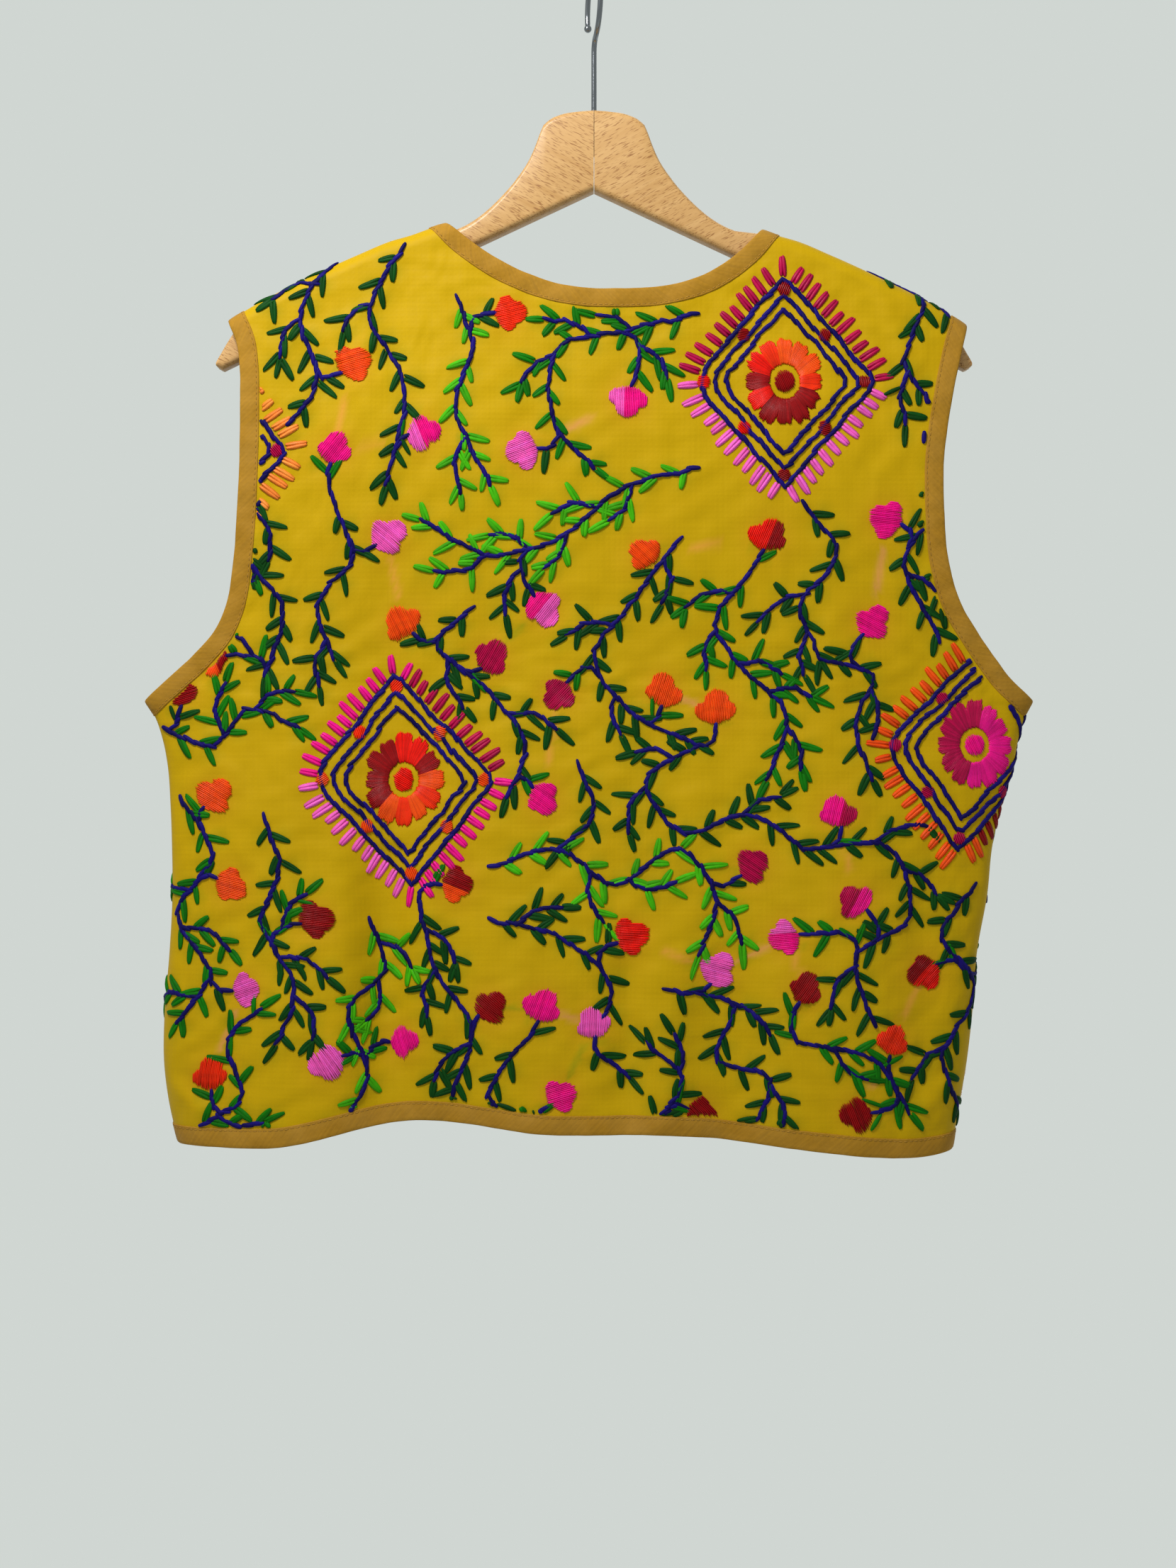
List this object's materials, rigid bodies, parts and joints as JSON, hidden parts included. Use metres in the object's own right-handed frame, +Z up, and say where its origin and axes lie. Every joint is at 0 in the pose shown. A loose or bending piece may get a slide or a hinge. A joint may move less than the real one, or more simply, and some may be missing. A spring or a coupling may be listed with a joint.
{
  "type": "embroidered waistcoat on a wooden hanger",
  "caption": "Cropped sleeveless waistcoat of thin embroidered cloth with bound edges, open down the front, hanging on a two-arm wooden hanger with a bent wire hook.",
  "frame": {"origin": "inside of the hook's crown, where it rests on the rail that holds it up", "axes": "+Z up, +X to the right of someone who looks at the back of the waistcoat, +Y from its back towards its fronts"},
  "size_m": [0.5186, 0.0791, 0.6919],
  "materials": {
    "mustard_cloth": "thin plain weave with a soft sheen",
    "ochre_binding": "matte bias tape",
    "beech": "clear satin lacquer",
    "bright_wire": "polished"
  },
  "bodies": {
    "root": {"back": "mustard_cloth", "front_left": "mustard_cloth", "front_right": "mustard_cloth", "binding_neck": "ochre_binding", "binding_armhole_left": "ochre_binding", "binding_armhole_right": "ochre_binding", "binding_hem": "ochre_binding", "hanger_left": "beech", "hanger_right": "beech", "hanger_hook": "bright_wire"}
  },
  "joints": []
}
